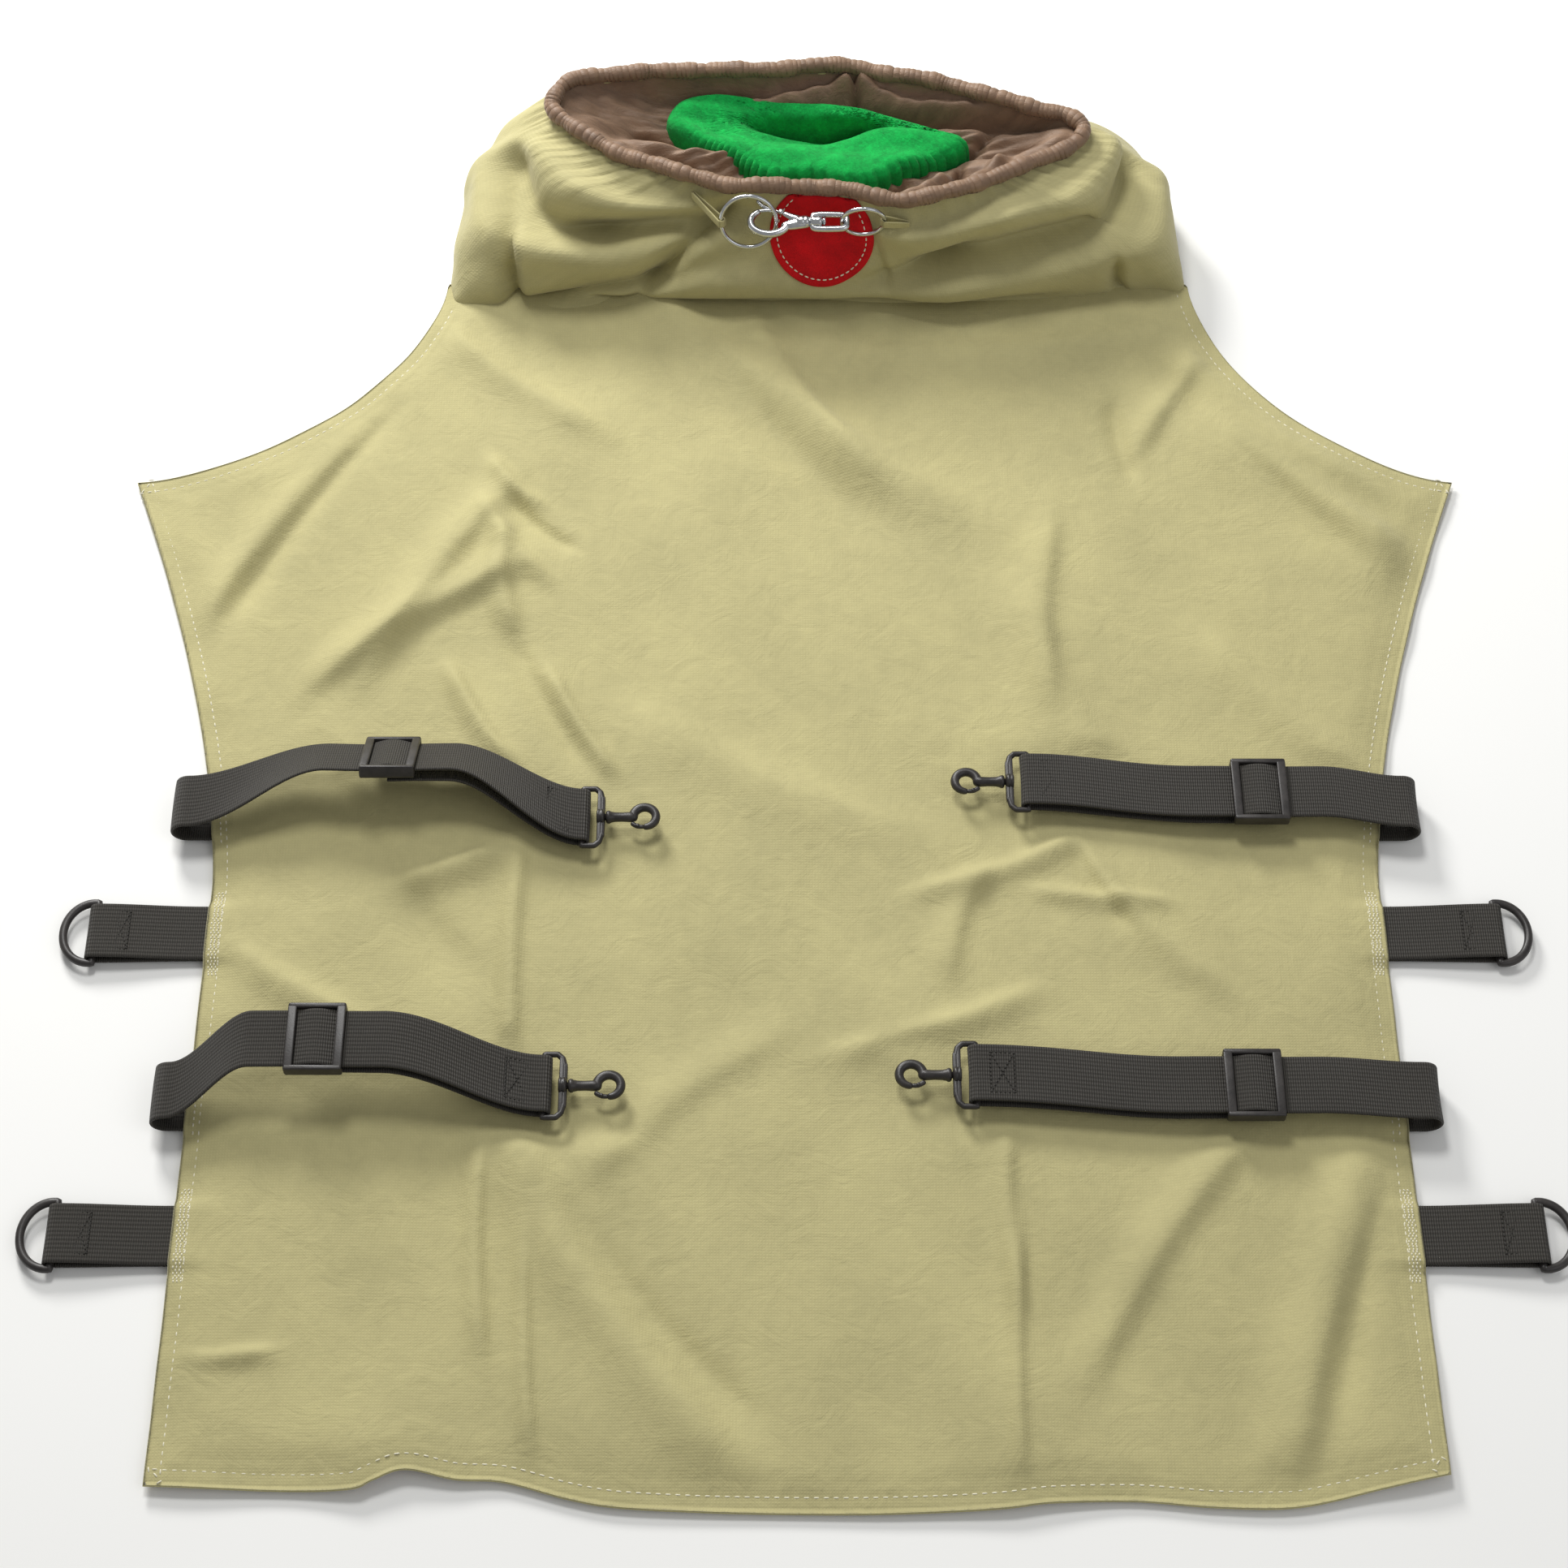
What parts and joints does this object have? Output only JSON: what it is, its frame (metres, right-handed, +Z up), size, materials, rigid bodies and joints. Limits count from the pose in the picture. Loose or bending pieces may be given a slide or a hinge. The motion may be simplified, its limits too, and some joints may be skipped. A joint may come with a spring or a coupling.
{
  "type": "fly sheet",
  "caption": "Canvas cover for a small animal, laid flat: gathered stand-up neck with fleece gaiter and clip, folded-back belly straps with sliders and swivel hooks, and side ring tabs.",
  "frame": {"origin": "on the floor, under the middle of the whole object as it lies", "axes": "+X towards the sheet's right edge as seen from above with the neck ahead, +Y towards the neck, +Z up from the floor"},
  "size_m": [0.763, 0.88, 0.0856],
  "materials": {
    "canvas": "coarse woven, matt",
    "brown_lining": "thin woven, low sheen",
    "green_fleece": "brushed pile",
    "elastic": "covered, matt",
    "webbing": "ribbed weave",
    "black_plastic": "moulded, satin",
    "red_patch": "felted, matt",
    "chrome": "bright plated"
  },
  "bodies": {
    "sheet": {"body_lining": "brown_lining", "canvas_panel": "canvas", "neck_tube": "canvas", "rim_casing": "brown_lining", "rim_elastic": "elastic", "neck_lining": "brown_lining", "neck_gaiter": "green_fleece", "gaiter_elastic": "elastic", "neck_patch": "red_patch", "clip_tab_left": "canvas", "clip_tab_right": "canvas", "strap_end_front_left": "webbing", "strap_end_front_right": "webbing", "strap_end_rear_left": "webbing", "strap_end_rear_right": "webbing", "tab_end_front_left": "webbing", "tab_end_front_right": "webbing", "tab_end_rear_left": "webbing", "tab_end_rear_right": "webbing"},
    "clip_ring": {"clip_ring": "chrome"},
    "pull_ring": {"pull_ring": "chrome"},
    "clip_eye": {"clip_eye": "chrome"},
    "clip_jaw": {"clip_jaw": "chrome"},
    "clip_lever": {"clip_lever": "chrome"},
    "strap_front_left": {"strap_front_left": "webbing"},
    "slider_front_left": {"slider_front_left": "black_plastic"},
    "hook_base_front_left": {"hook_base_front_left": "black_plastic"},
    "hook_front_left": {"hook_front_left": "black_plastic"},
    "hook_gate_front_left": {"hook_gate_front_left": "black_plastic"},
    "strap_front_right": {"strap_front_right": "webbing"},
    "slider_front_right": {"slider_front_right": "black_plastic"},
    "hook_base_front_right": {"hook_base_front_right": "black_plastic"},
    "hook_front_right": {"hook_front_right": "black_plastic"},
    "hook_gate_front_right": {"hook_gate_front_right": "black_plastic"},
    "strap_rear_left": {"strap_rear_left": "webbing"},
    "slider_rear_left": {"slider_rear_left": "black_plastic"},
    "hook_base_rear_left": {"hook_base_rear_left": "black_plastic"},
    "hook_rear_left": {"hook_rear_left": "black_plastic"},
    "hook_gate_rear_left": {"hook_gate_rear_left": "black_plastic"},
    "strap_rear_right": {"strap_rear_right": "webbing"},
    "slider_rear_right": {"slider_rear_right": "black_plastic"},
    "hook_base_rear_right": {"hook_base_rear_right": "black_plastic"},
    "hook_rear_right": {"hook_rear_right": "black_plastic"},
    "hook_gate_rear_right": {"hook_gate_rear_right": "black_plastic"},
    "tab_front_left": {"tab_front_left": "webbing"},
    "ring_front_left": {"ring_front_left": "black_plastic"},
    "tab_front_right": {"tab_front_right": "webbing"},
    "ring_front_right": {"ring_front_right": "black_plastic"},
    "tab_rear_left": {"tab_rear_left": "webbing"},
    "ring_rear_left": {"ring_rear_left": "black_plastic"},
    "tab_rear_right": {"tab_rear_right": "webbing"},
    "ring_rear_right": {"ring_rear_right": "black_plastic"}
  },
  "joints": [
    {"name": "pull_ring_turn", "type": "hinge", "parent": "sheet", "child": "pull_ring", "pos_m": [0.052, 0.29523, 0.06893], "axis": [1, 0, 0], "range_deg": [-2, 3.5]},
    {"name": "clip_eye_turn", "type": "hinge", "parent": "pull_ring", "child": "clip_eye", "pos_m": [0.0273, 0.29523, 0.06893], "axis": [1, 0, 0], "range_deg": [0, 4]},
    {"name": "clip_swivel", "type": "hinge", "parent": "clip_eye", "child": "clip_jaw", "pos_m": [0.016, 0.29523, 0.06893], "axis": [1, 0, 0], "range_deg": [-2, 4]},
    {"name": "clip_lever_press", "type": "hinge", "parent": "clip_jaw", "child": "clip_lever", "pos_m": [-0.00785, 0.30106, 0.07059], "axis": [0, -0.2741, 0.9617], "range_deg": [0, 16], "stiffness_Nm_per_rad": 0.02, "springref_deg": -11.46},
    {"name": "clip_ring_turn", "type": "hinge", "parent": "sheet", "child": "clip_ring", "pos_m": [-0.0425, 0.29523, 0.06893], "axis": [1, 0, 0], "range_deg": [0, 10]},
    {"name": "strap_flip_front_left", "type": "hinge", "parent": "sheet", "child": "strap_front_left", "pos_m": [-0.32105, -0.065, 0.01055], "axis": [0, -1, 0], "range_deg": [0, 165]},
    {"name": "slider_run_front_left", "type": "slide", "parent": "strap_front_left", "child": "slider_front_left", "axis": [-1, 0, 0], "range_m": [-0.015, 0.015]},
    {"name": "hook_base_swing_front_left", "type": "hinge", "parent": "strap_front_left", "child": "hook_base_front_left", "pos_m": [-0.112, -0.073, 0.0146], "axis": [0, -1, 0], "range_deg": [0, 70]},
    {"name": "hook_swivel_front_left", "type": "hinge", "parent": "hook_base_front_left", "child": "hook_front_left", "pos_m": [-0.1005, -0.073, 0.0146], "axis": [1, 0, 0], "continuous": true},
    {"name": "hook_gate_press_front_left", "type": "hinge", "parent": "hook_front_left", "child": "hook_gate_front_left", "pos_m": [-0.0855, -0.0773, 0.0146], "axis": [0, 0, 1], "range_deg": [0, 22], "stiffness_Nm_per_rad": 0.02, "springref_deg": -11.46},
    {"name": "strap_flip_front_right", "type": "hinge", "parent": "sheet", "child": "strap_front_right", "pos_m": [0.32105, -0.065, 0.01055], "axis": [0, 1, 0], "range_deg": [0, 165]},
    {"name": "slider_run_front_right", "type": "slide", "parent": "strap_front_right", "child": "slider_front_right", "axis": [1, 0, 0], "range_m": [-0.015, 0.015]},
    {"name": "hook_base_swing_front_right", "type": "hinge", "parent": "strap_front_right", "child": "hook_base_front_right", "pos_m": [0.123, -0.051, 0.0146], "axis": [0, 1, 0], "range_deg": [0, 70]},
    {"name": "hook_swivel_front_right", "type": "hinge", "parent": "hook_base_front_right", "child": "hook_front_right", "pos_m": [0.1115, -0.051, 0.0146], "axis": [1, 0, 0], "continuous": true},
    {"name": "hook_gate_press_front_right", "type": "hinge", "parent": "hook_front_right", "child": "hook_gate_front_right", "pos_m": [0.0965, -0.0553, 0.0146], "axis": [0, 0, -1], "range_deg": [0, 22], "stiffness_Nm_per_rad": 0.02, "springref_deg": -11.46},
    {"name": "strap_flip_rear_left", "type": "hinge", "parent": "sheet", "child": "strap_rear_left", "pos_m": [-0.31355, -0.234, 0.01055], "axis": [0, -1, 0], "range_deg": [0, 165]},
    {"name": "slider_run_rear_left", "type": "slide", "parent": "strap_rear_left", "child": "slider_rear_left", "axis": [-1, 0, 0], "range_m": [-0.015, 0.015]},
    {"name": "hook_base_swing_rear_left", "type": "hinge", "parent": "strap_rear_left", "child": "hook_base_rear_left", "pos_m": [-0.126, -0.23, 0.0146], "axis": [0, -1, 0], "range_deg": [0, 70]},
    {"name": "hook_swivel_rear_left", "type": "hinge", "parent": "hook_base_rear_left", "child": "hook_rear_left", "pos_m": [-0.1145, -0.23, 0.0146], "axis": [1, 0, 0], "continuous": true},
    {"name": "hook_gate_press_rear_left", "type": "hinge", "parent": "hook_rear_left", "child": "hook_gate_rear_left", "pos_m": [-0.0995, -0.2343, 0.0146], "axis": [0, 0, 1], "range_deg": [0, 22], "stiffness_Nm_per_rad": 0.02, "springref_deg": -11.46},
    {"name": "strap_flip_rear_right", "type": "hinge", "parent": "sheet", "child": "strap_rear_right", "pos_m": [0.31355, -0.234, 0.01055], "axis": [0, 1, 0], "range_deg": [0, 165]},
    {"name": "slider_run_rear_right", "type": "slide", "parent": "strap_rear_right", "child": "slider_rear_right", "axis": [1, 0, 0], "range_m": [-0.015, 0.015]},
    {"name": "hook_base_swing_rear_right", "type": "hinge", "parent": "strap_rear_right", "child": "hook_base_rear_right", "pos_m": [0.09, -0.224, 0.0146], "axis": [0, 1, 0], "range_deg": [0, 70]},
    {"name": "hook_swivel_rear_right", "type": "hinge", "parent": "hook_base_rear_right", "child": "hook_rear_right", "pos_m": [0.0785, -0.224, 0.0146], "axis": [1, 0, 0], "continuous": true},
    {"name": "hook_gate_press_rear_right", "type": "hinge", "parent": "hook_rear_right", "child": "hook_gate_rear_right", "pos_m": [0.0635, -0.2283, 0.0146], "axis": [0, 0, -1], "range_deg": [0, 22], "stiffness_Nm_per_rad": 0.02, "springref_deg": -11.46},
    {"name": "tab_fold_front_left", "type": "hinge", "parent": "sheet", "child": "tab_front_left", "pos_m": [-0.3075, -0.137, 0.0065], "axis": [0, 1, 0], "range_deg": [0, 150]},
    {"name": "ring_swing_front_left", "type": "hinge", "parent": "tab_front_left", "child": "ring_front_left", "pos_m": [-0.363, -0.137, 0.0043], "axis": [0, 1, 0], "range_deg": [0, 115]},
    {"name": "tab_fold_front_right", "type": "hinge", "parent": "sheet", "child": "tab_front_right", "pos_m": [0.3075, -0.137, 0.0065], "axis": [0, -1, 0], "range_deg": [0, 150]},
    {"name": "ring_swing_front_right", "type": "hinge", "parent": "tab_front_right", "child": "ring_front_right", "pos_m": [0.363, -0.137, 0.0043], "axis": [0, -1, 0], "range_deg": [0, 115]},
    {"name": "tab_fold_rear_left", "type": "hinge", "parent": "sheet", "child": "tab_rear_left", "pos_m": [-0.3075, -0.306, 0.0065], "axis": [0, 1, 0], "range_deg": [0, 150]},
    {"name": "ring_swing_rear_left", "type": "hinge", "parent": "tab_rear_left", "child": "ring_rear_left", "pos_m": [-0.363, -0.306, 0.0043], "axis": [0, 1, 0], "range_deg": [0, 115]},
    {"name": "tab_fold_rear_right", "type": "hinge", "parent": "sheet", "child": "tab_rear_right", "pos_m": [0.3075, -0.306, 0.0065], "axis": [0, -1, 0], "range_deg": [0, 150]},
    {"name": "ring_swing_rear_right", "type": "hinge", "parent": "tab_rear_right", "child": "ring_rear_right", "pos_m": [0.363, -0.306, 0.0043], "axis": [0, -1, 0], "range_deg": [0, 115]}
  ]
}
